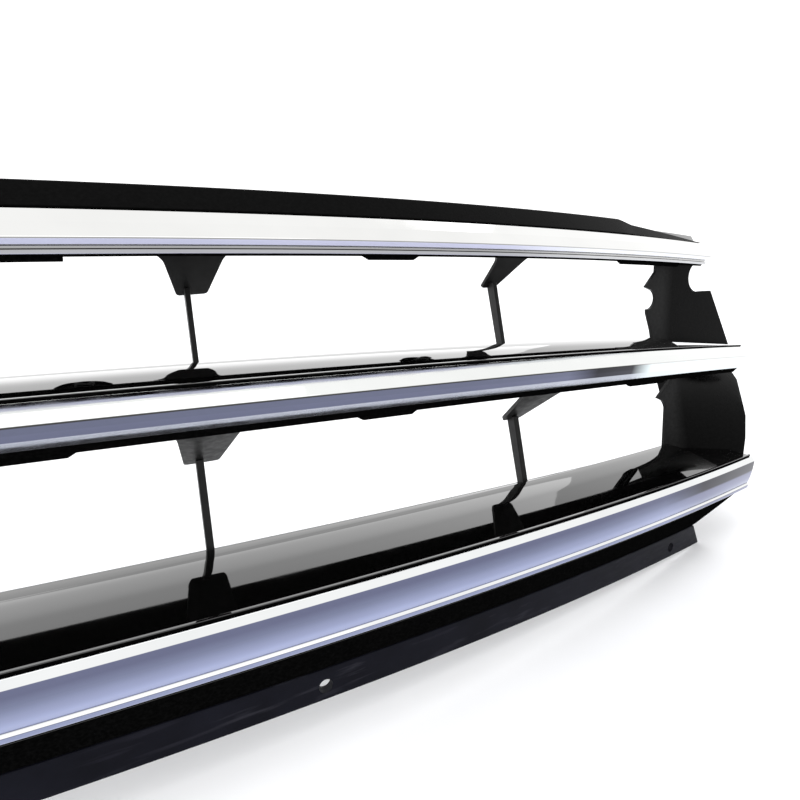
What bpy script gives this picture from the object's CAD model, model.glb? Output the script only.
import math
from collections import namedtuple

import bmesh
import bpy
import numpy as np
from mathutils import Matrix, Vector
from mathutils.geometry import delaunay_2d_cdt


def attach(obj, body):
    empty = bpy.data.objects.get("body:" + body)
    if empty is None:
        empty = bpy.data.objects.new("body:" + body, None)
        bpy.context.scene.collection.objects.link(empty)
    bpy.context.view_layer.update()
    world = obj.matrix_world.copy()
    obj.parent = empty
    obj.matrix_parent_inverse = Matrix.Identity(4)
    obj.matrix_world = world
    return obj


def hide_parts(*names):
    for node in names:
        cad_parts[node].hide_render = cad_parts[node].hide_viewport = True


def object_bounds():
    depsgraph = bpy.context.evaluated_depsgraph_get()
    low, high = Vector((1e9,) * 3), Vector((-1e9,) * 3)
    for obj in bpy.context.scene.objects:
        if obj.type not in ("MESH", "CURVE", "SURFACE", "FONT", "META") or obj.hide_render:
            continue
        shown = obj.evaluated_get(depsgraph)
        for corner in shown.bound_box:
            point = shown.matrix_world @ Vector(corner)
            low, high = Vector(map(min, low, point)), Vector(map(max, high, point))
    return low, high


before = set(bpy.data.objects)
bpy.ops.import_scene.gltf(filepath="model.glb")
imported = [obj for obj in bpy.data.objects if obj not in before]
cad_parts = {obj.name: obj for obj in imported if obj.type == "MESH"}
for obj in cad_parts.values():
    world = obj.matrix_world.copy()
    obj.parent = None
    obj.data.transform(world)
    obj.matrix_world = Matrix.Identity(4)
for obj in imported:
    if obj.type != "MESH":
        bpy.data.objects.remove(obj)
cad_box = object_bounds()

# A front grille: bright mouldings on a black louvred carrier.
# Every size is in millimetres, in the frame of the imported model, and becomes
# metres when a mesh is made. X runs across the car, Y rearwards and Z up.
MM = 0.001

# ---------- dimensions
# A bar is an arc in a plane that dips towards its ends: the ridge's place on
# the centre line, the dip in degrees, and the radius.
Bar = namedtuple("Bar", "y z tilt radius")
TOP = Bar(-44.9, -15.9, 8.9, 1434)
MID = Bar(-63.4, -71.1, 15.2, 1447)
LOW = Bar(-89.8, -139.5, 12.6, 1458)

# A slanted end passes (x, z) above and (x, z) below.
End = namedtuple("End", "x_top z_top x_low z_low")
TOP_RAIL_END = End(541, -22, 533, -36)
TOP_BRIGHT_END = End(541, -22, 531, -36)
MID_RAIL_END = End(574, -95, 559, -110)
MID_BRIGHT_END = End(575, -97, 553, -108.5)
LOW_RAIL_END = End(526, -160, 515, -177)
LOW_BRIGHT_END = End(527, -160, 515, -177)
FLANGE_END = End(462, -188, 469, -201)

# The louvres' rear edges are flatter arcs: place on the centre line, radius.
Rear = namedtuple("Rear", "y radius")
MID_REAR = Rear(-5.4, 1872)
LOW_REAR = Rear(-29.3, 1637)

# The crowns on the louvres: where they end, and how far the lower one stays
# in front of its louvre's rear edge.
CROWN_END = 483
CROWN_BACK = 8.8

# The emblem leans back; its frame's Z points out of its face.
BADGE_AT = Vector((0, -60, -79))
BADGE_TILT = 20
BADGE_R = 56
BADGE_GAP = 0.3
BADGE_SIDES = 128
STUD_AT = 40

TAB_AT = (44.9, 15.9)
TABS = (-330, -150, 0, 150, 330)
CENTRE_HOLE_R = 3.3
RETAINER_HOLE_R = 4.1
RETAINERS = {
    "left_outer": -330, "left_inner": -150, "right_inner": 150, "right_outer": 330}
FLANGE_HOLES = (-436, -220, 220, 436)
FLANGE_HOLE_R = 2.75
PEG_AT = (520, 62.5, -62)

# How far back the end panels' webs reach.
WEB_BACK = 68

# Screw posts behind each moulding: bar, distances, section point, length.
POSTS = {
    "top": (TOP, (110, 235, 320, 440), (6.5, 2.6), 12.5),
    "middle": (MID, (110, 235, 320, 445), (3.8, -4.6), 8),
    "lower": (LOW, (60, 170, 300, 430), (2, -8.5), 8)}
FLANGE_SCREWS = (40, 150, 290, 400)


# ---------- geometry
def carry(bar, x, dy, dz):
    """The places at x of section points dy, dz, which count from the ridge."""
    tilt = math.radians(bar.tilt)
    along = dy * math.cos(tilt) - dz * math.sin(tilt)
    across = dy * math.sin(tilt) + dz * math.cos(tilt)
    run = bar.radius - np.sqrt((bar.radius - along) ** 2 - x * x)
    y = bar.y + run * math.cos(tilt) + across * math.sin(tilt)
    z = bar.z - run * math.sin(tilt) + across * math.cos(tilt)
    return np.stack([x + 0 * y, y, z], axis=-1)


def on_bar(bar, x, dy, dz):
    return carry(bar, np.array([float(x)]), dy, dz)[0]


def rear_of(rear, x):
    return rear.y + rear.radius - np.sqrt(rear.radius ** 2 - x * x)


def slanted(bar, end, rounds=40):
    """Where along X each section point meets a slanted end."""
    slope = (end.x_top - end.x_low) / (end.z_top - end.z_low)

    def reach(dy, dz):
        x = np.full(len(dy), float(end.x_low))
        for _ in range(rounds):
            x = end.x_low + slope * (carry(bar, x, dy, dz)[:, 2] - end.z_low)
        return x
    return reach


def square_end(x):
    return lambda dy, dz: np.full(len(dy), float(x))


def rounded(corners, steps=5):
    """A closed outline whose corners (across, up, radius) are arcs."""
    outline = []
    count = len(corners)
    for i, (px, py, radius) in enumerate(corners):
        here = Vector((px, py))
        to_last = Vector(corners[i - 1][:2]) - here
        to_next = Vector(corners[(i + 1) % count][:2]) - here
        half = to_last.angle(to_next) / 2
        room = 0.49 * min(to_last.length, to_next.length)
        cut = min(radius / math.tan(half), room)
        if cut < 0.01:
            outline.append(tuple(here))
            continue
        radius = cut * math.tan(half)
        first = here + to_last.normalized() * cut
        middle = (to_last.normalized() + to_next.normalized()).normalized()
        centre = here + middle * math.hypot(cut, radius)
        start = first - centre
        swing = start.angle_signed(here + to_next.normalized() * cut - centre)
        for k in range(steps + 1):
            spoke = start.copy()
            spoke.rotate(Matrix.Rotation(-swing * k / steps, 2))
            outline.append(tuple(centre + spoke))
    return np.array(outline)


def inset(outline, depth):
    """The outline moved inwards by depth."""
    last, nxt = np.roll(outline, 1, 0), np.roll(outline, -1, 0)
    turn = np.sum(outline[:, 0] * nxt[:, 1] - nxt[:, 0] * outline[:, 1])
    step = nxt - last
    step /= np.linalg.norm(step, axis=1)[:, None] + 1e-9
    inwards = np.stack([-step[:, 1], step[:, 0]], 1) * np.sign(turn)
    return outline + inwards * depth


class Shape:
    """The points and faces of one piece, gathered shell by shell."""

    def __init__(self):
        self.points = np.zeros((0, 3))
        self.faces = []

    def add(self, points, faces):
        start = len(self.points)
        self.points = np.vstack([self.points, points])
        self.faces += [tuple(start + i for i in face) for face in faces]
        return self

    def join(self, other):
        return self.add(other.points, other.faces)

    def moved(self, matrix):
        moved = Shape()
        turned = self.points @ np.array(matrix.to_3x3()).T
        return moved.add(turned + np.array(matrix.translation), self.faces)

    def shifted(self, place):
        return Shape().add(self.points + place, self.faces)

    def mirrored(self):
        return Shape().add(
            self.points * (-1, 1, 1), [face[::-1] for face in self.faces])


def rings_to_shape(rings):
    """A closed shell through rings of equal length, with flat caps."""
    size = len(rings[0])
    faces = [
        (a + j, a + (j + 1) % size, a + size + (j + 1) % size, a + size + j)
        for a in range(0, size * (len(rings) - 1), size) for j in range(size)]
    last = size * (len(rings) - 1)
    faces.append(tuple(range(size))[::-1])
    faces.append(tuple(last + j for j in range(size)))
    return Shape().add(np.vstack(rings), faces)


def block(outline, layers):
    """A shell through an outline's layers, each an (inset, height)."""
    return rings_to_shape([
        np.column_stack([inset(outline, depth), np.full(len(outline), height)])
        for depth, height in layers])


def sweep(bar, outline, start, finish, morph=None, edge=0.4, pitch=7.0):
    """Carries an outline along a bar, with rounded edges at both ends.

    start and finish say where each section point ends, and morph may change
    the section points at each place.
    """
    dy, dz = outline[:, 0], outline[:, 1]
    x0, x1 = start(dy, dz), finish(dy, dz)
    count = max(2, int(np.max(x1 - x0) / pitch))
    bends = [math.radians(a) for a in (90, 60, 30)]
    rings = []

    def ring(x, depth):
        section = inset(outline, depth) if depth else outline
        sy, sz = section[:, 0], section[:, 1]
        if morph:
            sy, sz = morph(x, sy, sz)
        rings.append(carry(bar, x, sy, sz))

    for bend in bends:
        ring(x0 + edge * (1 - math.sin(bend)), edge * (1 - math.cos(bend)))
    for t in np.linspace(0, 1, count + 1):
        ring(x0 + edge + t * (x1 - x0 - 2 * edge), 0)
    for bend in bends[::-1]:
        ring(x1 - edge * (1 - math.sin(bend)), edge * (1 - math.cos(bend)))
    return rings_to_shape(rings)


def lathe(profile, steps=48):
    """A turned shape about Z; the profile is (radius, height) points that
    start and end on the axis, or close on themselves as a ring."""
    is_ring = profile[0][0] > 0
    turns = np.linspace(0, 2 * math.pi, steps, endpoint=False)
    points, faces, rows = [], [], []
    for radius, height in profile:
        row = len(points)
        if radius == 0:
            points.append((0, 0, height))
            rows.append([row] * steps)
        else:
            points += [
                (radius * math.cos(a), radius * math.sin(a), height) for a in turns]
            rows.append(list(range(row, row + steps)))
    pairs = list(zip(rows, rows[1:] + rows[:1] if is_ring else rows[1:]))
    for low, high in pairs:
        for j in range(steps):
            k = (j + 1) % steps
            face = [low[j], low[k], high[k], high[j]]
            faces.append(tuple(dict.fromkeys(face)))
    return Shape().add(np.array(points, float), faces)


def arc(centre, radius, first, last, steps=10):
    """Points on an arc, with its angles in degrees."""
    angles = np.radians(np.linspace(first, last, steps + 1))
    return [
        (centre[0] + radius * math.cos(a), centre[1] + radius * math.sin(a))
        for a in angles]


def loop(count, start=0):
    """The edges that join a row of points into a loop."""
    return [(start + i, start + (i + 1) % count) for i in range(count)]


def slab(points, faces, shift):
    """A closed shell between a sheet of faces and the same sheet, shifted."""
    count = len(points)
    edges = [edge for face in faces for edge in zip(face, face[1:] + face[:1])]
    known = set(edges)
    rim = [(a, b) for a, b in edges if (b, a) not in known]
    sides = [(b, a, a + count, b + count) for a, b in rim]
    far = [tuple(i + count for i in face[::-1]) for face in faces]
    return Shape().add(np.vstack([points, points + shift]), faces + far + sides)


def plate(outline, depth, thickness, pitch=6.0):
    """A plate over an (x, z) outline whose front face lies at y = depth(x, z)."""
    outline = np.array(outline, float)
    low, high = outline.min(0), outline.max(0)
    grid = [
        (x, z)
        for x in np.arange(low[0] + pitch / 2, high[0], pitch)
        for z in np.arange(low[1] + pitch / 2, high[1], pitch)]
    flat, _, faces, _, _, _ = delaunay_2d_cdt(
        [Vector(p) for p in [*outline, *grid]], loop(len(outline)), [], 1, 1e-5)
    used = sorted({i for face in faces for i in face})
    place = {old: new for new, old in enumerate(used)}
    faces = [tuple(place[i] for i in face) for face in faces]
    x, z = np.array([tuple(flat[i]) for i in used]).T
    return slab(np.stack([x, depth(x, z), z], 1), faces, (0, thickness, 0))


def along_y(point):
    """Turns a shape made about Z so that it runs rearwards from a point."""
    return Matrix.Translation(Vector(point)) @ Matrix.Rotation(-math.pi / 2, 4, "X")


def badge_place():
    lean = Matrix.Rotation(math.radians(90 - BADGE_TILT), 4, "X")
    return Matrix.Translation(BADGE_AT) @ lean


def both_sides(places):
    return [*places, *(-place for place in places)]


# ---------- materials
class Look:
    """A node tree around one Principled shader, in object coordinates."""

    def __init__(self, name):
        self.material = bpy.data.materials.new(name)
        self.material.use_nodes = True
        self.nodes = self.material.node_tree.nodes
        self.links = self.material.node_tree.links
        self.shader = self.nodes["Principled BSDF"]
        self.coords = self.nodes.new("ShaderNodeTexCoord").outputs["Object"]

    def set(self, **values):
        for key, value in values.items():
            self.shader.inputs[key.replace("_", " ")].default_value = value
        return self

    def node(self, kind, sources, **values):
        """A new node, with sources linked to its inputs and values set on them."""
        node = self.nodes.new(kind)
        for key, source in sources.items():
            self.links.new(source, node.inputs[key])
        for key, value in values.items():
            node.inputs[key.replace("_", " ")].default_value = value
        return node

    def noise(self, scale, detail=3.0, stretch=None):
        source = self.coords
        if stretch:
            mapping = self.node("ShaderNodeMapping", {"Vector": source}, Scale=stretch)
            source = mapping.outputs["Vector"]
        return self.node(
            "ShaderNodeTexNoise", {"Vector": source}, Scale=scale,
            Detail=detail).outputs["Fac"]

    def cells(self, scale):
        return self.node(
            "ShaderNodeTexVoronoi", {"Vector": self.coords},
            Scale=scale).outputs["Distance"]

    def ramp(self, source, stops):
        node = self.node("ShaderNodeValToRGB", {"Fac": source})
        band = node.color_ramp
        while len(band.elements) < len(stops):
            band.elements.new(0.5)
        for element, (place, colour) in zip(band.elements, stops):
            element.position = place
            element.color = (*colour, 1)
        return node.outputs["Color"]

    def spread(self, source, low, high, least=0.3, most=0.7):
        """Spreads a value that runs from least to most over low to high."""
        return self.node(
            "ShaderNodeMapRange", {"Value": source}, From_Min=least, From_Max=most,
            To_Min=low, To_Max=high).outputs["Result"]

    def axis(self, source, letter):
        return self.node("ShaderNodeSeparateXYZ", {"Vector": source}).outputs[letter]

    def absolute(self, source):
        node = self.node("ShaderNodeMath", {0: source})
        node.operation = "ABSOLUTE"
        return node.outputs["Value"]

    def mix(self, first, second):
        node = self.nodes.new("ShaderNodeMix")
        node.data_type = "RGBA"
        colours = [socket for socket in node.inputs if socket.type == "RGBA"]
        self.links.new(first, colours[0])
        self.links.new(second, colours[1])
        result = [socket for socket in node.outputs if socket.type == "RGBA"]
        return node, result[0]

    def blend(self, factor, first, second):
        node, result = self.mix(first, second)
        self.links.new(factor, node.inputs[0])
        return result

    def multiply(self, first, second):
        node, result = self.mix(first, second)
        node.blend_type = "MULTIPLY"
        node.inputs[0].default_value = 1.0
        return result

    def colour(self, source):
        self.links.new(source, self.shader.inputs["Base Color"])

    def roughness(self, source):
        self.links.new(source, self.shader.inputs["Roughness"])

    def bump(self, source, distance):
        """Adds relief to the shader, on top of any that it has."""
        sources = {"Height": source}
        last = self.shader.inputs["Normal"].links
        if last:
            sources["Normal"] = last[0].from_socket
        node = self.node("ShaderNodeBump", sources, Distance=distance)
        self.links.new(node.outputs["Normal"], self.shader.inputs["Normal"])


def grey(value):
    return (value, value, value)


def plating(name, middle, ends, where, patch=None):
    """Bright plating: even, with a trace of waviness and fine polish lines.
    Its tone follows how far a face looks up, and changes towards the ends."""
    look = Look(name).set(Metallic=1.0)
    normal = look.node("ShaderNodeNewGeometry", {}).outputs["Normal"]
    up = look.axis(normal, "Z")
    level = look.spread(up, 0, 1, -1, 1)
    across = look.absolute(look.axis(look.coords, "X"))
    near_end = look.spread(across, 0, 1, where[0] * MM, where[1] * MM)
    tone = look.ramp(level, middle)
    if patch:
        start, stops = patch
        near_patch = look.spread(across, 0, 1, start[0] * MM, start[1] * MM)
        tone = look.blend(near_patch, tone, look.ramp(level, stops))
    tone = look.blend(near_end, tone, look.ramp(level, ends))
    haze = look.ramp(look.noise(30), [(0.3, grey(0.95)), (0.7, grey(1.0))])
    look.colour(look.multiply(tone, haze))
    look.roughness(look.spread(look.noise(90, 4), 0.03, 0.085))
    look.bump(look.noise(45, 1), 0.00002)
    look.bump(look.noise(900, 2, stretch=(0.05, 1, 1)), 0.0000012)
    return look.material


def top_plating():
    lavender, pale, bright = (0.49, 0.50, 0.64), (0.72, 0.74, 0.78), (0.62, 0.62, 0.61)
    return plating("bright_plating_top", [
        (0.0, grey(0.01)), (0.13, grey(0.02)), (0.19, lavender), (0.32, lavender),
        (0.42, grey(0.30)), (0.64, grey(0.24)), (0.75, bright), (0.93, bright),
        (0.965, grey(0.03))], [
        (0.0, grey(0.01)), (0.13, grey(0.02)), (0.19, pale), (0.32, pale),
        (0.42, grey(0.45)), (0.64, grey(0.4)), (0.75, bright), (1.0, bright)], (330, 400))


def middle_plating():
    bright = (0.64, 0.65, 0.64)
    first = [(0.0, grey(0.01)), (0.08, grey(0.03)), (0.17, (0.55, 0.57, 0.64))]
    last = [(0.66, grey(0.04)), (0.8, bright), (1.0, bright)]
    return plating("bright_plating_middle", [
        *first, (0.28, (0.52, 0.54, 0.62)), (0.305, (0.17, 0.18, 0.27)),
        (0.36, (0.13, 0.14, 0.20)), (0.46, grey(0.05)), *last], [
        (0.0, grey(0.02)), (0.08, grey(0.1)), (0.17, (0.44, 0.47, 0.50)),
        (0.24, (0.55, 0.60, 0.62)), (0.29, (0.70, 0.78, 0.79)),
        (0.37, (0.72, 0.80, 0.81)), (0.46, grey(0.6)), (0.66, grey(0.5)),
        (0.8, bright), (1.0, bright)], (414, 432), patch=((362, 384), [
        *first, (0.28, (0.40, 0.42, 0.48)), (0.305, (0.03, 0.03, 0.045)),
        (0.36, (0.012, 0.012, 0.016)), (0.46, grey(0.02)), *last]))


def lower_plating():
    bright = (0.63, 0.64, 0.64)
    first = [(0.0, grey(0.01)), (0.12, grey(0.04)), (0.30, (0.5, 0.53, 0.62))]
    last = [(0.74, bright), (1.0, bright)]
    return plating("bright_plating_lower", [
        *first, (0.41, (0.41, 0.45, 0.66)), (0.47, (0.31, 0.34, 0.50)),
        (0.515, (0.19, 0.21, 0.31)), (0.545, (0.12, 0.128, 0.20)),
        (0.62, (0.12, 0.128, 0.20)), *last], [
        *first, (0.41, (0.24, 0.26, 0.38)), (0.46, (0.21, 0.22, 0.33)),
        (0.502, (0.18, 0.19, 0.28)), (0.512, (0.03, 0.03, 0.04)),
        (0.62, (0.02, 0.02, 0.03)), *last], (415, 455))


def emblem_plating():
    return plating("bright_plating_emblem", [
        (0.0, grey(0.25)), (0.3, (0.42, 0.43, 0.48)), (0.6, grey(0.6)),
        (1.0, grey(0.64))], [(0.0, grey(0.25)), (1.0, grey(0.64))], (600, 700))


def gloss_black(name="carrier_gloss_black", coat=0.0, index=1.5):
    """Polished black plastic of the louvres, with faint orange peel and dust."""
    look = Look(name).set(
        Specular_IOR_Level=0.6, IOR=index, Coat_Weight=coat, Coat_Roughness=0.02)
    specks = look.ramp(look.noise(2200, 2), [(0.70, grey(0.0012)), (0.80, grey(0.008))])
    look.colour(specks)
    look.roughness(look.spread(look.noise(35, 4), 0.02, 0.05))
    look.bump(look.noise(260, 2), 0.000001)
    return look.material


def middle_gloss():
    """The middle louvre has the deeper gloss of the two."""
    return gloss_black("carrier_deep_gloss", coat=0.6, index=1.65)


def plastic(name, specular, tone, dullness, relief):
    """Dark plastic or rubber. Tone, dullness and relief each follow a noise of
    their own (scale, detail): through stops, between two values, by a height."""
    look = Look(name).set(Specular_IOR_Level=specular)
    noise, stops = tone
    stops = [(place, grey(value)) for place, value in stops]
    look.colour(look.ramp(look.noise(*noise), stops))
    noise, ends = dullness
    look.roughness(look.spread(look.noise(*noise), *ends))
    noise, height = relief
    look.bump(look.noise(*noise), height)
    return look.material


def shaded_black():
    """The same plastic on faces that look down or forward, left duller."""
    return plastic(
        "carrier_black_face", 0.0, ((900, 3), [(0.4, 0.0014), (0.75, 0.004)]),
        ((50, 4), (0.16, 0.30)), ((400, 2), 0.000008))


def trim_black():
    """The header trim: black, a little duller than the louvres."""
    return plastic(
        "trim_gloss_black", 0.008, ((700, 3), [(0.35, 0.0018), (0.75, 0.0032)]),
        ((60, 4), (0.20, 0.32)), ((900, 3), 0.000010))


def satin_black():
    """Textured black plastic of the struts, with a fine moulded grain."""
    return plastic(
        "satin_black", 0.12, ((140, 4), [(0.3, 0.009), (0.7, 0.014)]),
        ((300, 3), (0.36, 0.52)), ((2600, 2), 0.00004))


def rubber():
    return plastic(
        "seal_rubber", 0.3, ((500, 4), [(0.3, 0.008), (0.7, 0.016)]),
        ((800, 3), (0.62, 0.82)), ((2200, 3), 0.00005))


def nylon():
    return plastic(
        "nylon_black", 0.4, ((350, 3), [(0.3, 0.010), (0.7, 0.020)]),
        ((500, 3), (0.34, 0.5)), ((1800, 3), 0.00003))


def emblem_black():
    return plastic(
        "emblem_black", 0.5, ((200, 3), [(0.3, 0.004), (0.7, 0.008)]),
        ((120, 3), (0.10, 0.2)), ((400, 2), 0.000008))


def panel_black():
    """The end panels: black, with a softer, paler band along the inner edge."""
    band_end, dark_start = 492, 502
    look = Look("carrier_panel_black").set(Specular_IOR_Level=0.03)
    grain = look.noise(500, 3)
    dark = look.ramp(grain, [(0.35, grey(0.0014)), (0.75, grey(0.0028))])
    pale = look.ramp(grain, [(0.35, grey(0.014)), (0.75, grey(0.020))])
    across = look.absolute(look.axis(look.coords, "X"))
    outwards = look.spread(across, 0, 1, band_end * MM, dark_start * MM)
    look.colour(look.blend(outwards, pale, dark))
    look.roughness(look.spread(look.noise(60, 4), 0.22, 0.34))
    look.bump(look.noise(900, 3), 0.000010)
    return look.material


def flange_satin():
    """The lower flange: bluish black, scuffed along its length."""
    look = Look("flange_satin").set(Specular_IOR_Level=0.05)
    body = look.ramp(look.noise(60, 3), [
        (0.3, (0.0036, 0.0038, 0.0066)), (0.7, (0.0060, 0.0063, 0.0108))])
    scuffs = look.noise(240, 5, stretch=(0.035, 1, 1.6))
    marks = look.ramp(scuffs, [(0.56, grey(0.0)), (0.68, grey(1.0))])
    light = look.ramp(look.noise(25, 2), [
        (0.4, (0.009, 0.009, 0.014)), (0.7, (0.022, 0.022, 0.029))])
    look.colour(look.blend(marks, body, light))
    look.roughness(look.spread(scuffs, 0.30, 0.52))
    look.bump(scuffs, 0.00006)
    return look.material


def foam():
    look = Look("pad_foam").set(Specular_IOR_Level=0.15)
    cells = look.cells(900)
    look.colour(look.ramp(cells, [(0.05, grey(0.006)), (0.5, grey(0.034))]))
    look.roughness(look.spread(look.noise(300, 2), 0.85, 1.0))
    look.bump(cells, 0.0004)
    return look.material


def zinc():
    look = Look("zinc_steel").set(Metallic=1.0)
    look.colour(look.ramp(look.cells(700), [
        (0.1, (0.46, 0.47, 0.50)), (0.7, (0.66, 0.67, 0.69))]))
    look.roughness(look.spread(look.noise(400, 4), 0.24, 0.42))
    look.bump(look.noise(1500, 3), 0.00002)
    return look.material


FINISH = {
    "top_plating": top_plating(), "middle_plating": middle_plating(),
    "lower_plating": lower_plating(), "emblem_plating": emblem_plating(),
    "carrier_gloss_black": gloss_black(), "middle_gloss": middle_gloss(),
    "shaded_black": shaded_black(), "trim_gloss_black": trim_black(),
    "panel_black": panel_black(), "satin_black": satin_black(),
    "flange_satin": flange_satin(), "seal_rubber": rubber(), "pad_foam": foam(),
    "nylon_black": nylon(), "zinc_steel": zinc(), "emblem_black": emblem_black()}


# ---------- pieces
# Edges sharper than these are bevelled, or shaded as sharp.
BEVEL_FROM = math.radians(38)
SHARP_FROM = math.radians(42)

# A face whose normal lies below both of these looks down or forward.
SHADED_Z = 0.2
SHADED_Y = 0.4


def placed(name, data):
    """A new object, linked into the scene."""
    obj = bpy.data.objects.new(name, data)
    bpy.context.scene.collection.objects.link(obj)
    return obj


def make_mesh(name, shape):
    mesh = bpy.data.meshes.new(name)
    mesh.from_pydata((shape.points * MM).tolist(), [], shape.faces)
    bm = bmesh.new()
    bm.from_mesh(mesh)
    bmesh.ops.recalc_face_normals(bm, faces=bm.faces)
    bm.to_mesh(mesh)
    bm.free()
    mesh.validate()
    return mesh


def face_outwards(mesh):
    """Turns each closed part of a mesh so that its faces look out."""
    bm = bmesh.new()
    bm.from_mesh(mesh)
    waiting = set(bm.faces)
    while waiting:
        part = [waiting.pop()]
        for face in part:
            for edge in face.edges:
                for other in edge.link_faces:
                    if other in waiting:
                        waiting.remove(other)
                        part.append(other)
        volume = sum(f.calc_center_median().dot(f.normal) * f.calc_area() for f in part)
        if volume < 0:
            bmesh.ops.reverse_faces(bm, faces=part)
    bm.to_mesh(mesh)
    bm.free()


def cut_away(obj, cutter_shape):
    """Subtracts a shape from an object's mesh."""
    cutter = placed("cutter", make_mesh("cutter", cutter_shape))
    step = obj.modifiers.new("cut", "BOOLEAN")
    step.object = cutter
    step.operation = "DIFFERENCE"
    step.solver = "EXACT"
    bpy.context.view_layer.update()
    whole = obj.evaluated_get(bpy.context.evaluated_depsgraph_get())
    mesh = bpy.data.meshes.new_from_object(whole)
    obj.modifiers.remove(step)
    obj.data = mesh
    bpy.data.objects.remove(cutter)


def piece(name, shape, slot, node=None, body="grille", bevel=0.0, cutter=None,
          more=None, finish=None, below=None):
    """Makes one piece, which rides on a body and stands for a CAD node.

    A cutter is taken from its shape and more is added to it. Its look is its
    finish, or else its slot's; below is the look of its shaded faces."""
    obj = placed(name, make_mesh(name, shape))
    if cutter:
        cut_away(obj, cutter)
    if more:
        bm = bmesh.new()
        bm.from_mesh(obj.data)
        bm.from_mesh(make_mesh("more", more))
        bm.to_mesh(obj.data)
        bm.free()
    face_outwards(obj.data)
    obj.data.materials.clear()
    obj.data.materials.append(FINISH[finish or slot])
    if below:
        obj.data.materials.append(FINISH[below])
        for face in obj.data.polygons:
            normal = face.normal
            face.material_index = int(normal.z < SHADED_Z and normal.y < SHADED_Y)
    if bevel:
        step = obj.modifiers.new("edges", "BEVEL")
        step.width = bevel * MM
        step.segments = 3
        step.limit_method = "ANGLE"
        step.angle_limit = BEVEL_FROM
    obj.data.shade_smooth()
    obj.data.set_sharp_from_angle(angle=SHARP_FROM)
    normals = obj.modifiers.new("normals", "WEIGHTED_NORMAL")
    normals.keep_sharp = True
    normals.weight = 80
    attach(obj, body)
    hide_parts(node or name)
    return obj


def both_ends(bar, outline, end, **options):
    """Sweeps an outline from side to side; end is an End, or a square end's X."""
    reach = slanted(bar, end) if isinstance(end, End) else square_end(end)
    return sweep(bar, outline, lambda dy, dz: -reach(dy, dz), reach, **options)


def curve(points, steps):
    """A smooth line through points, without its first and with its last."""
    points = [Vector(p) for p in points]
    points = [2 * points[0] - points[1], *points, 2 * points[-1] - points[-2]]
    line = []
    for a, b, c, d in zip(points, points[1:], points[2:], points[3:]):
        for k in range(1, steps + 1):
            t = k / steps
            line.append(tuple(0.5 * (
                2 * b + (c - a) * t + (2 * a - 5 * b + 4 * c - d) * t * t
                + (3 * b - 3 * c + d - a) * t ** 3)))
    return line


def floor_to(bar, rear, edge_dy, slope, limit=False, rounds=6):
    """Moves a louvre's rear edge to its own, flatter arc; with limit, only
    where the arc cuts it short."""
    def morph(x, dy, dz):
        is_rear = dy > edge_dy - 3
        goal = rear_of(rear, x)
        shift = np.zeros(len(dy))
        for _ in range(rounds):
            there = carry(bar, x, edge_dy + shift, dz)[:, 1]
            shift += goal - there
        if limit:
            shift = np.minimum(shift, 0)
        shift = np.where(is_rear, shift, 0)
        return dy + shift, dz + slope * shift
    return morph


def strips(bar, dy, dz, places):
    """Thicker strips under a bar's lower edge, with chamfered ends."""
    shape = Shape()
    height, depth, chamfer = 1.5, 2.4, 3.0
    top = 0.4
    base = rounded([
        (dy, dz + top, 0), (dy, dz - height, 0.4),
        (dy + depth, dz - height, 0.4), (dy + depth, dz + top, 0)], 3)

    def leaning(x, sign):
        return lambda sy, sz: x + sign * chamfer * (dz + top - sz) / (top + height)

    for start, end in places:
        for first, last in ((start, end), (-end, -start)):
            shape.join(sweep(
                bar, base, leaning(first, 1), leaning(last, -1), edge=0.2))
    return shape


def header_trim():
    """The upper trim: its section shrinks in a step, then tapers to its ends."""
    section = rounded([
        (14.1, 10.9, 0.4), (22.5, 20.2, 2.2), (31, 20.3, 0.8), (31, 15.95, 0.4),
        (29.2, 15.95, 0.4), (29.2, 18.2, 0.9), (24.2, 18.2, 1.5), (22.0, 16.2, 1.0),
        (16.2, 9.9, 0.4), (15.4, 9.4, 0.3)])
    root = np.array([15.2, 10.2])
    places = [0, 448, 459, 541, 560]
    sizes = [1, 1, 0.70, 0.10, 0.10]

    def morph(x, dy, dz):
        size = np.interp(np.abs(x), places, sizes)
        return root[0] + size * (dy - root[0]), root[1] + size * (dz - root[1])

    shape = both_ends(TOP, section, TOP_BRIGHT_END, morph=morph, edge=0.3, pitch=4)
    piece("upper_trim", shape, "trim_gloss_black")


def edge_seal():
    section = rounded([
        (31.4, 15.95, 0.2), (31.4, 17.2, 0.4), (31.9, 17.6, 0.2), (31.4, 19.6, 1.6),
        (35.4, 19.6, 1.6), (34.9, 17.6, 0.2), (35.4, 17.2, 0.4), (35.4, 15.95, 0.2)])
    piece("edge_seal", both_ends(TOP, section, 440, edge=0.3), "seal_rubber")


def fixing_tab(x, hole_r, sides=40):
    """A flat tab with a round end and a hole, behind the top rail."""
    reach, thick, width = 12.0, 2.5, 12.0
    at = on_bar(TOP, x, *TAB_AT)
    rim = [(-width, -reach), (width, -reach)]
    rim += [(width * math.cos(a), width * math.sin(a)) for a in np.linspace(0, math.pi, 25)]
    turns = np.linspace(0, 2 * math.pi, sides, endpoint=False)
    hole = [(hole_r * math.cos(a), hole_r * math.sin(a)) for a in turns]
    flat, _, faces, _, _, _ = delaunay_2d_cdt(
        [Vector(p) for p in rim + hole], loop(len(rim)) + loop(sides, len(rim)), [], 1, 1e-5)
    keep = []
    for face in faces:
        middle = sum((flat[i] for i in face), Vector((0, 0))) / len(face)
        if middle.length > hole_r * 0.98:
            keep.append(tuple(face))
    top = np.array([(*p, 0) for p in flat])
    return slab(top, keep, (0, 0, -thick)).shifted(at)


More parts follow.
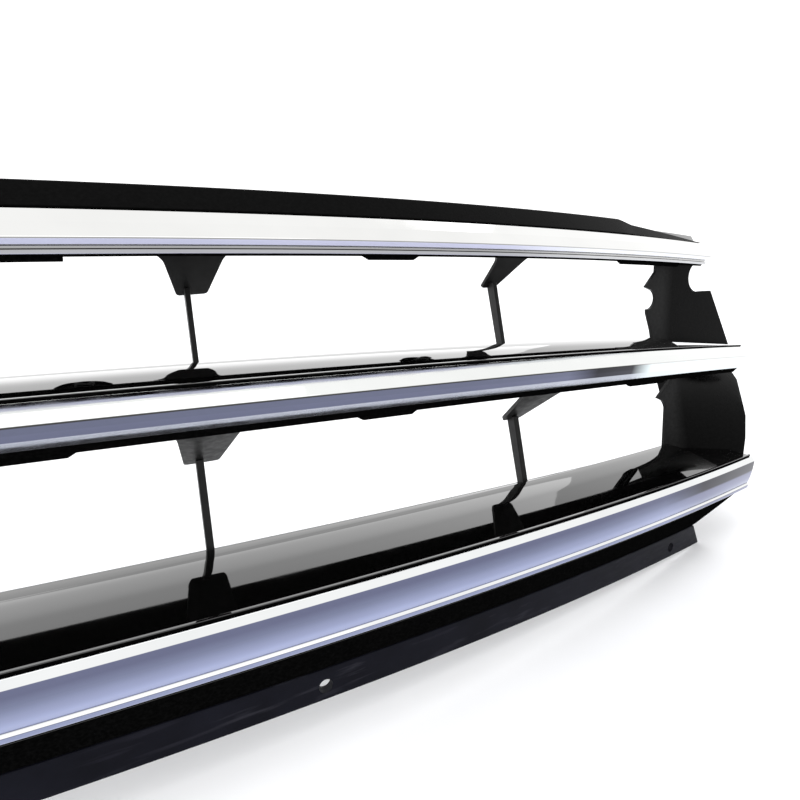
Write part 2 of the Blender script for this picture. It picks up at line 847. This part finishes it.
def top_rail():
    section = rounded([
        (22.4, 15.9, 0.8), (15.6, 8.4, 0.8), (4.2, -0.7, 0.4), (6.5, -2, 0.5),
        (6.5, -6, 0.7), (30, -4.6, 0.6), (30, -2.2, 0.6), (9.4, -3.2, 0.4),
        (9.2, -0.9, 0.6), (18.6, 7.2, 1.2), (23.5, 13.4, 1.5), (36, 13.4, 0.6),
        (36, 15.9, 0.6)])
    shape = both_ends(TOP, section, TOP_RAIL_END)
    shape.join(strips(TOP, 6.6, -6, [(260, 288), (430, 500)]))
    shape.join(both_ends(TOP, rounded([
        (6.6, -5.6, 0), (6.6, -7.5, 0.4), (9, -7.5, 0.4), (9, -5.6, 0)], 3), 150))
    for x in TABS:
        shape.join(fixing_tab(x, RETAINER_HOLE_R if x else CENTRE_HOLE_R))
    piece("top_rail", shape, "carrier_gloss_black", below="shaded_black")


def badge_cutter(depth):
    rim = BADGE_R + BADGE_GAP
    top = 60 - depth
    cutter = lathe([(0, -depth), (rim, -depth), (rim, top), (0, top)], BADGE_SIDES)
    return cutter.moved(badge_place())


def middle_louvre():
    section = rounded([
        (9.9, 7, 0.35), (10.1, 3.7, 0.3), (3.5, -1.5, 0.4), (6.1, -8.2, 0.3),
        (5.6, -8.7, 0.3), (7.6, -12.1, 0.7), (10.1, -12.1, 0.7), (8.7, -8, 1.0),
        (6.6, -2.3, 1.5), (12.2, 2, 1.0), (18, 3, 1.0), (64, 5.2, 0.8), (64, 7.6, 0.9),
        (41, 6.6, 2.0), (12.4, 6.2, 0.3), (11.6, 7, 0.35)])
    shape = both_ends(
        MID, section, MID_RAIL_END, morph=floor_to(MID, MID_REAR, 64, 0.0434))
    shape.join(strips(MID, 7.7, -12.1, [(70, 148), (247, 276), (419, 459)]))
    top = [(12.6, 5.2), (12.5, 6.3)]
    top += curve([(12.5, 6.3), (17.4, 8.4), (23.2, 10.2), (31.2, 11.1), (38.2, 10.6)], 6)
    top += [(39.0, 10.2), (39.7, 9.4), (40.3, 7.6), (40.4, 5.2)]
    crown = both_ends(
        MID, np.array(top), CROWN_END,
        morph=floor_to(MID, MID_REAR._replace(y=MID_REAR.y - 0.4), 41, 0, limit=True))
    piece(
        "middle_louvre", shape.join(crown), "carrier_gloss_black",
        cutter=badge_cutter(3.2), finish="middle_gloss", below="shaded_black")


def lower_louvre():
    section = rounded([
        (3.6, 3.2, 0.3), (3.9, 0.8, 0.3), (2.7, -2.1, 0.4), (2.9, -17.2, 0.3),
        (1.2, -17.4, 0.4), (8, -31.2, 0.8), (10.3, -30, 0.8), (5.4, -20, 1.2),
        (5.4, -3.6, 1.5), (9, -1.2, 1.0), (70, 1, 0.8), (70, 3.4, 0.9), (46, 2.6, 2.0),
        (5.6, 2.6, 0.3), (5, 3.2, 0.3)])
    rear = floor_to(LOW, LOW_REAR, 70, 0.0321)
    root = np.array([2.9, -17.0])

    def morph(x, dy, dz):
        size = np.interp(np.abs(x), [0, 460, 513, 560], [1, 1, 0.05, 0.05])
        below = dz < root[1] - 0.1
        dy = np.where(below, root[0] + size * (dy - root[0]), dy)
        dz = np.where(below, root[1] + size * (dz - root[1]), dz)
        return rear(x, dy, dz)

    shape = both_ends(LOW, section, LOW_RAIL_END, morph=morph, pitch=5)
    top = [(5.8, 1.6), (5.7, 2.7)]
    top += curve([(5.7, 2.7), (14, 4.25), (23, 5.8), (28.9, 6.6), (38, 7), (44, 6.8)], 6)
    top += [(55.0, 6.3), (55.6, 6.0), (56, 5.4), (56, 1.6)]
    crown = both_ends(
        LOW, np.array(top), CROWN_END,
        morph=floor_to(LOW, LOW_REAR._replace(y=LOW_REAR.y - CROWN_BACK), 56, 0))
    piece(
        "lower_louvre", shape.join(crown), "carrier_gloss_black", below="shaded_black")


def halves(shape):
    return ("right", shape), ("left", shape.mirrored())


def tube(inner, outer, length, edge=0.25):
    return lathe([
        (inner, edge), (inner + edge, 0), (outer - edge, 0), (outer, edge),
        (outer, length - edge), (outer - edge, length), (inner + edge, length),
        (inner, length - edge)])


def lower_flange():
    section = rounded([
        (8, -31.5, 0.5), (8, -44.2, 0.8), (10.5, -44.2, 0.8), (10.5, -32.5, 0.8),
        (12.5, -29.1, 0.5), (8.9, -21.9, 0.6), (7, -22.8, 0.5), (10.5, -30.3, 0.8)])
    shape = both_ends(LOW, section, FLANGE_END)
    drill = lathe([(0, 0), (FLANGE_HOLE_R, 0), (FLANGE_HOLE_R, 40), (0, 40)], 40)
    ring = tube(FLANGE_HOLE_R, 5.25, 2.2)
    cutter, rings = Shape(), Shape()
    for x in FLANGE_HOLES:
        cutter.join(drill.moved(along_y(on_bar(LOW, x, -10, -38.5))))
        rings.join(ring.moved(along_y(on_bar(LOW, x, 10.4, -38.5))))
    piece("lower_flange", shape, "flange_satin", cutter=cutter, more=rings)


def posts(key):
    """Hollow screw posts on a moulding's back."""
    bar, places, (dy, dz), length = POSTS[key]
    shape = Shape()
    for x in both_sides(places):
        at = along_y(on_bar(bar, x, dy, dz))
        shape.join(tube(1.2, 2.8, length).moved(at))
    return shape


def top_moulding():
    section = rounded([
        (13.5, 10.2, 0.6), (6.6, 5.35, 8), (0, 0, 0.7), (1.25, -2.2, 0.25),
        (3.9, -2.4, 0.2), (3.9, -3.4, 0.2), (2.6, -3.6, 0.25), (2.9, -5.2, 0.3),
        (6.2, -5.2, 0.4), (6.2, -1.9, 0.6), (4.6, -0.6, 0.5), (14.8, 8.4, 0.5)], 6)
    shape = both_ends(TOP, section, TOP_BRIGHT_END, edge=0.5)
    piece(
        "top_moulding", shape.join(posts("top")), "bright_plating", finish="top_plating")


def badge_edge(bar, rounds=8):
    """Where along X a moulding's section points meet the emblem's gap."""
    lean = math.radians(BADGE_TILT)
    rim = BADGE_R + BADGE_GAP

    def reach(dy, dz):
        x = np.full(len(dy), rim)
        for _ in range(rounds):
            place = carry(bar, x, dy, dz)
            up = (place[:, 1] - BADGE_AT.y) * math.sin(lean)
            up += (place[:, 2] - BADGE_AT.z) * math.cos(lean)
            x = np.sqrt(rim ** 2 - up ** 2)
        return x
    return reach


def middle_moulding():
    section = rounded([
        (8.8, 6, 0.5), (4.6, 3.3, 8), (0, 0, 0.9), (0.9, -2.8, 9), (1.75, -5.1, 0.6),
        (3.4, -8.4, 0.3), (5.7, -8.4, 0.4), (3, -1.4, 1.2), (9.6, 3.9, 0.5)], 6)
    half = sweep(
        MID, section, badge_edge(MID), slanted(MID, MID_BRIGHT_END), edge=0.5)
    shape = half.join(half.mirrored())
    piece(
        "middle_moulding", shape.join(posts("middle")), "bright_plating",
        finish="middle_plating")


def lower_moulding():
    section = rounded([
        (2.6, 2.5, 0.5), (0, 0, 0.7), (-0.35, -3.4, 400), (-0.5, -7, 400),
        (-0.3, -10.4, 400), (0.3, -13.2, 0.8), (-0.8, -13.9, 0.5), (-0.7, -15.9, 0.6),
        (2.6, -16.2, 0.4), (2.5, -14, 0.8), (2.3, -1.8, 0.8), (3.5, 1, 0.4)], 6)
    shape = both_ends(LOW, section, LOW_BRIGHT_END, edge=0.5)
    piece(
        "lower_moulding", shape.join(posts("lower")), "bright_plating",
        finish="lower_plating")


# ---------- struts, gussets
Strut = namedtuple("Strut", "x foot head root thick outline")


def blade(strut):
    """An upright that leans rearwards from its foot, with rounded edges."""
    depth, edge = 7.0, 0.5
    (fy, fz), (hy, hz) = strut.foot, strut.head
    outline = rounded([
        (fy - depth, fz - 0.6, 0), (fy - 0.4, fz - 0.6, 0), (hy, hz, 0),
        (hy, hz + 2.5, 0), (hy - depth, hz + 2.5, 0)])
    half = strut.thick / 2
    rings = []
    for k in range(4):
        bend = math.radians(30 * k)
        ring = inset(outline, edge * (1 - math.sin(bend)))
        rings.append((ring, -half + edge * (1 - math.cos(bend))))
    rings += [(ring, -offset) for ring, offset in rings[::-1]]
    return rings_to_shape([
        np.stack([np.full(len(r), strut.x + x), r[:, 0], r[:, 1]], 1)
        for r, x in rings])


def gusset(strut):
    """The plate that hangs a strut from the bar above, creased along the strut."""
    (hy, hz), (ry, rz) = strut.head, strut.root
    run = math.hypot(ry - hy, rz - hz)
    rise = (rz - hz) / run
    fall = (ry - hy) / run
    crease, softness, thick = 0.10, 2.0, 2.0

    def depth(x, s):
        return crease * (np.sqrt((x - strut.x) ** 2 + softness ** 2) - softness)

    outline = [(strut.x + x, s) for x, s in strut.outline(run)]
    flat = plate(outline, depth, thick, pitch=3.0)
    points = flat.points
    along, off = points[:, 2], points[:, 1] - thick / 2
    y = hy + along * fall + off * rise
    z = hz + along * rise - off * fall
    return Shape().add(np.stack([points[:, 0], y, z], 1), flat.faces)


def flared(low, high, fillet, corner=1.2):
    """A gusset outline: (left, right) half widths at its foot and its root,
    with straight sides that a fillet spreads at the root."""
    def outline(run):
        steps = np.linspace(0, 1, 21)
        spread = fillet * np.clip((steps - 0.75) / 0.25, 0, 1) ** 2
        left, right = [
            [(side * (near + (far - near) * s + f), s * run) for s, f in zip(steps, spread)]
            for side, near, far in ((-1, low[0], high[0]), (1, low[1], high[1]))]
        right[0] = (right[0][0] - corner * 0.2, 0.25 * corner)
        left[0] = (left[0][0] + corner * 0.2, 0.25 * corner)
        foot = [(-low[0] + corner, 0), (low[1] - corner, 0)]
        return foot + right + left[::-1]
    return outline


# A level of struts: the bar at the foot, its rear edge and the foot's section
# point, the bar and section point at the root, the gusset's drop, the thickness
# and each strut's X and gusset outline.
Level = namedtuple("Level", "low rear foot high root drop thick struts")
LEVELS = {
    "upper": Level(MID, MID_REAR, (50, 7), TOP, (29.5, -3.4), 17, 2.2, {
        "inner": (190.5, flared((4.1, 8.4), (9.4, 16.5), 3.6)),
        "outer": (349.5, flared((4.6, 3.6), (-1.5, 23.5), 3))}),
    "lower": Level(LOW, LOW_REAR, (58, 2.9), MID, (9.4, -10.4), 20.6, 3.0, {
        "inner": (187, flared((6.0, 8.0), (8.8, 15.5), 1.2)),
        "outer": (351, flared((4.5, 6.0), (8.5, 17), 1.5))})}


def all_struts():
    lean = 10.0
    for name, level in LEVELS.items():
        for place, (x, outline) in level.struts.items():
            foot = (rear_of(level.rear, x), on_bar(level.low, x, *level.foot)[2])
            root = on_bar(level.high, x, *level.root)[1:]
            head = (foot[0] + lean, root[1] - level.drop)
            strut = Strut(x, foot, head, root, level.thick, outline)
            for side, half in halves(blade(strut).join(gusset(strut))):
                piece(f"strut_{name}_{side}_{place}", half, "satin_black", bevel=0.25)


# ---------- end panels
def end_panel():
    thick = 2.5
    turn = math.tan(math.radians(6.8))

    def upper_depth(x, z):
        return 56.5 + turn * (x - 485)

    upper = [(485.5, -35.5), (485.5, -40), (476.5, -49.5)]
    upper += arc((479.5, -57.5), 6.5, 66, -96, 12)
    upper += [(479, -66.5), (483.5, -78), (485.5, -85.5), (566, -95), (542, -55)]
    upper += arc((528, -45), 10, 282, 110, 14)
    upper += [(526.5, -35)]
    shape = plate(upper, upper_depth, thick)

    inner, outer, top, bottom = 486.5, 566, -110, -160.5

    def lower_depth(x, z):
        """Four corners' depths, blended across and down."""
        across = (x - inner) / (outer - inner)
        down = (z - top) / (bottom - top)
        at_top = 43.3 + 22.7 * across
        at_bottom = 43.0 - 34.0 * across
        return at_top * (1 - down) + at_bottom * down

    lower = [(491, top), (478, -121), (483.5, -123.5), (inner, -127.5),
             (inner, -156.5), (535, -161.5), (550, -140), (564.5, -119), (outer, top)]
    shape.join(plate(lower, lower_depth, thick))
    web = rounded([
        (60.5, -38.5, 2), (WEB_BACK, -45, 2), (WEB_BACK, -112, 6), (58, -136, 6),
        (54, -152, 3), (44, -150, 2), (50, -118, 6), (64, -110, 4), (64, -84, 3),
        (60.5, -80, 2)])
    shape.join(rings_to_shape([
        np.stack([np.full(len(web), x), web[:, 0], web[:, 1]], 1) for x in (500, 503)]))
    peg = lathe([
        (0, -1), (5.5, -1), (5.5, 3.1), (5.1, 3.5), (4, 3.5), (4, 20.5), (3.4, 22.4),
        (2.6, 23), (0, 23)])
    shape.join(peg.moved(along_y(PEG_AT)))
    return shape


def end_panels():
    for side, half in halves(end_panel()):
        piece(
            f"end_panel_{side}", half, "carrier_gloss_black", bevel=0.3,
            finish="panel_black")


# ---------- emblem
def studs():
    """The places of the three studs on the emblem's back."""
    for turn in (90, 210, 330):
        spin = Matrix.Rotation(math.radians(turn), 4, "Z")
        yield badge_place() @ spin @ Matrix.Translation((STUD_AT, 0, 0))


def emblem():
    at = badge_place()
    bracket = lathe(rounded([
        (24, -3.1, 0.3), (52, -3.1, 0.6), (52, -0.1, 0.6), (24, -0.1, 0.3)], 4), 96)
    bracket = bracket.moved(at)
    for low, high in ((40, 61.3), (-62.8, -40)):
        box = rounded([(-14, low, 2), (14, low, 2), (14, high, 2), (-14, high, 2)], 4)
        arm = block(box, ((0.4, -3.05), (0, -2.65), (0, -0.55), (0.4, -0.15)))
        bracket.join(arm.moved(at))
    piece("emblem_bracket", bracket, "carrier_gloss_black")

    base = lathe([
        (0, 0), (BADGE_R - 0.5, 0), (BADGE_R, 0.5), (BADGE_R, 5.6), (BADGE_R - 0.4, 6.4),
        (BADGE_R - 2.2, 8.6), (BADGE_R - 3.0, 9), (BADGE_R - 5.6, 9), (BADGE_R - 6, 8.6),
        (BADGE_R - 6, 4), (0, 4)], BADGE_SIDES).moved(at)
    stud = [(0, -9), (1.9, -9), (2.5, -8.4)]
    stud += [(2.5 - 0.3 * (k % 2), -8.2 + 0.35 * k) for k in range(14)]
    stud += [(2.5, -3), (2.5, 0.5), (0, 0.5)]
    for where in studs():
        base.join(lathe(stud, 32).moved(where))
    piece("emblem_base", base, "emblem_black")

    rim = BADGE_R - 6.2
    dome = [(0, 4.1), (rim - 0.3, 4.1), (rim, 4.5), (rim, 8.2), (rim - 0.4, 9.0),
            (rim - 1.2, 9.4), (rim - 4.6, 9.4), (rim - 5.4, 9.0), (rim - 6.2, 7.8),
            (rim - 6.9, 7.55)]
    dome += [(r, 10 - 2.6 * (r / rim) ** 2) for r in np.arange(rim - 8, 2, -3.5)]
    dome += [(0, 10)]
    piece(
        "emblem_disc", lathe(dome, BADGE_SIDES).moved(at), "bright_plating",
        finish="emblem_plating")

    hexagon = rounded([
        (4.9 * math.cos(a), 4.9 * math.sin(a), 0.2)
        for a in np.linspace(0, 2 * math.pi, 6, endpoint=False)], 2)
    nut = block(hexagon, ((0.4, 0.5), (0, 0.9), (0, 2.1), (0.4, 2.5)))
    nut.join(tube(2.52, 5.5, 0.7, 0.15))
    nuts = Shape()
    for where in studs():
        nuts.join(nut.shifted((0, 0, -5.7)).moved(where))
    piece("emblem_nuts", nuts, "zinc_steel")


# ---------- fasteners
def screw(length):
    """A pan-head screw that points down its Z, with its head above zero."""
    thread = [(0, -length), (0.5, -length + 0.2)]
    turns = int((length - 1) / 0.45)
    thread += [
        (1.3 if k % 2 else 1.0, -length + 0.6 + 0.45 * k) for k in range(turns)]
    head = [(1.3, -0.1), (1.3, 0), (3.4, 0), (3.6, 0.2), (3.55, 0.9), (3.1, 1.45),
            (2.2, 1.75), (1.0, 1.8), (0, 1.8)]
    return lathe(thread + head, 32)


def cross_recess():
    """A tapered cross, to be cut into a screw's head."""
    rings = []
    for height, arm, half in ((0.5, 0.7, 0.24), (2.4, 1.9, 0.34)):
        quarter = [(arm, -half), (arm, half), (half, half)]
        ring = []
        for turn in range(4):
            c, s = math.cos(turn * math.pi / 2), math.sin(turn * math.pi / 2)
            ring += [(c * x - s * y, s * x + c * y, height) for x, y in quarter]
        rings.append(np.array(ring))
    return rings_to_shape(rings)


def recessed(length):
    """The screw's shape with its recess cut, as plain points and faces."""
    obj = placed("screw", make_mesh("screw", screw(length)))
    cut_away(obj, cross_recess())
    points = np.array([v.co for v in obj.data.vertices]) / MM
    faces = [tuple(p.vertices) for p in obj.data.polygons]
    bpy.data.objects.remove(obj)
    return Shape().add(points, faces)


def screws():
    shape = Shape()
    for bar, places, (dy, dz), length in POSTS.values():
        one = recessed(length - 2.5)
        for x in both_sides(places):
            at = on_bar(bar, x, dy, dz) + (0, length, 0)
            shape.join(one.moved(along_y(at)))
    piece("moulding_screws", shape, "zinc_steel")
    shape = Shape()
    one = recessed(8.5)
    for x in both_sides(FLANGE_SCREWS):
        shape.join(one.moved(along_y(on_bar(LOW, x, 15, -27.5))))
    piece("flange_screws", shape, "zinc_steel")


def retainers():
    bodies = Shape()
    ribs = [(4.0 - 0.25 * (k % 2), -12.1 + 0.55 * k) for k in range(16)]
    profile = [(1.9, -12.5), (3.4, -12.5)] + ribs + [
        (4.0, -2.9), (4.0, -2.6), (3.8, -2.6), (3.8, 0), (7.5, 0), (8, 0.5), (7.8, 1.1),
        (7.0, 1.6), (1.9, 1.6)]
    for x in RETAINERS.values():
        at = on_bar(TOP, x, *TAB_AT) + (0, 0, 0.05)
        bodies.join(lathe(profile).shifted(at))
    piece("retainer_bodies", bodies, "nylon_black")
    pin = [(0, -12.5), (1.3, -12.5), (1.85, -11.6), (1.85, 0), (3.4, 0), (3.6, 0.3),
           (3.4, 1.0), (2.8, 1.4), (1.6, 1.4), (1.2, 0.9), (0, 0.8)]
    for key, x in RETAINERS.items():
        at = on_bar(TOP, x, *TAB_AT) + (0, 0, 1.7)
        shape = lathe(pin, 40).shifted(at)
        piece(f"retainer_pin_{key}", shape, "nylon_black", body=f"pin_{key}")


def foam_pads():
    left, right = 497.5, 505.5
    front, back = WEB_BACK + 0.1, WEB_BACK + 2.6
    corners = rounded([
        (left, front, 1), (right, front, 1), (right, back, 1), (left, back, 1)], 4)
    heights = [(1.0, -110), (0.3, -109.6), (0, -109)]
    heights += [(0, z) for z in np.linspace(-107, -55, 14)]
    heights += [(0, -53), (0.3, -52.4), (1.0, -52)]
    for side, half in halves(block(corners, heights)):
        pad = piece(f"foam_pad_{side}", half, "pad_foam", node="foam_pads")


def build():
    for make in (
            header_trim, edge_seal, top_rail, middle_louvre, lower_louvre,
            lower_flange, top_moulding, middle_moulding, lower_moulding, all_struts,
            end_panels, emblem, screws, retainers, foam_pads):
        make()


# ---------- stage, light, camera
# How far below the grille the floor lies, in metres.
FLOOR_GAP = 0.0006
WORLD_STRENGTH = 1.45

# The photograph's camera, solved from the bars: yaw, pitch and roll in
# degrees, place in millimetres.
CAMERA_TURN = (21.752, 11.989, -2.147)
CAMERA_AT = (172.2, -269.9, -30.0)
LENS = 28.44


def stage():
    low = cad_box[0][2] - FLOOR_GAP
    points = [(-6, -6, low), (6, -6, low), (6, 8, low), (-6, 8, low)]
    mesh = bpy.data.meshes.new("floor")
    mesh.from_pydata(points, [], [(0, 1, 2, 3)])
    floor = placed("floor", mesh)
    look = Look("floor_paper").set(Roughness=0.75, Specular_IOR_Level=0.2)
    look.colour(look.ramp(look.noise(20), [
        (0.3, (0.86, 0.865, 0.88)), (0.7, (0.89, 0.895, 0.91))]))
    mesh.materials.append(look.material)
    world = bpy.data.worlds.new("studio")
    world.use_nodes = True
    background = world.node_tree.nodes["Background"]
    background.inputs["Color"].default_value = (1, 1, 1, 1)
    background.inputs["Strength"].default_value = WORLD_STRENGTH
    bpy.context.scene.world = world


def softbox(name, place, aim, size, power):
    light = bpy.data.lights.new(name, "AREA")
    light.shape = "RECTANGLE"
    light.size, light.size_y = size
    light.energy = power
    obj = placed(name, light)
    obj.location = place
    aim = Vector(aim) - Vector(place)
    obj.rotation_euler = aim.to_track_quat("-Z", "Y").to_euler()
    obj.visible_camera = False


def lights():
    softbox("overhead", (0.2, -0.3, 1.9), (0.15, -0.1, -0.2), (2.0, 1.2), 6)
    softbox("back_wall", (0.4, 2.6, 1.9), (0.2, 0, -0.1), (5.0, 2.2), 38)


def camera():
    yaw, pitch, roll = (math.radians(a) for a in CAMERA_TURN)
    turn = Matrix.Rotation(-yaw, 4, "Z")
    turn @= Matrix.Rotation(math.pi / 2 - pitch, 4, "X")
    turn @= Matrix.Rotation(roll, 4, "Z")
    lens = bpy.data.cameras.new("camera")
    lens.lens = LENS
    lens.sensor_width = 36
    lens.clip_start = 0.01
    lens.clip_end = 50
    obj = placed("camera", lens)
    obj.matrix_world = Matrix.Translation(Vector(CAMERA_AT) * MM) @ turn
    bpy.context.scene.camera = obj
    bpy.context.scene.view_settings.view_transform = "Standard"


camera()
build()
stage()
lights()
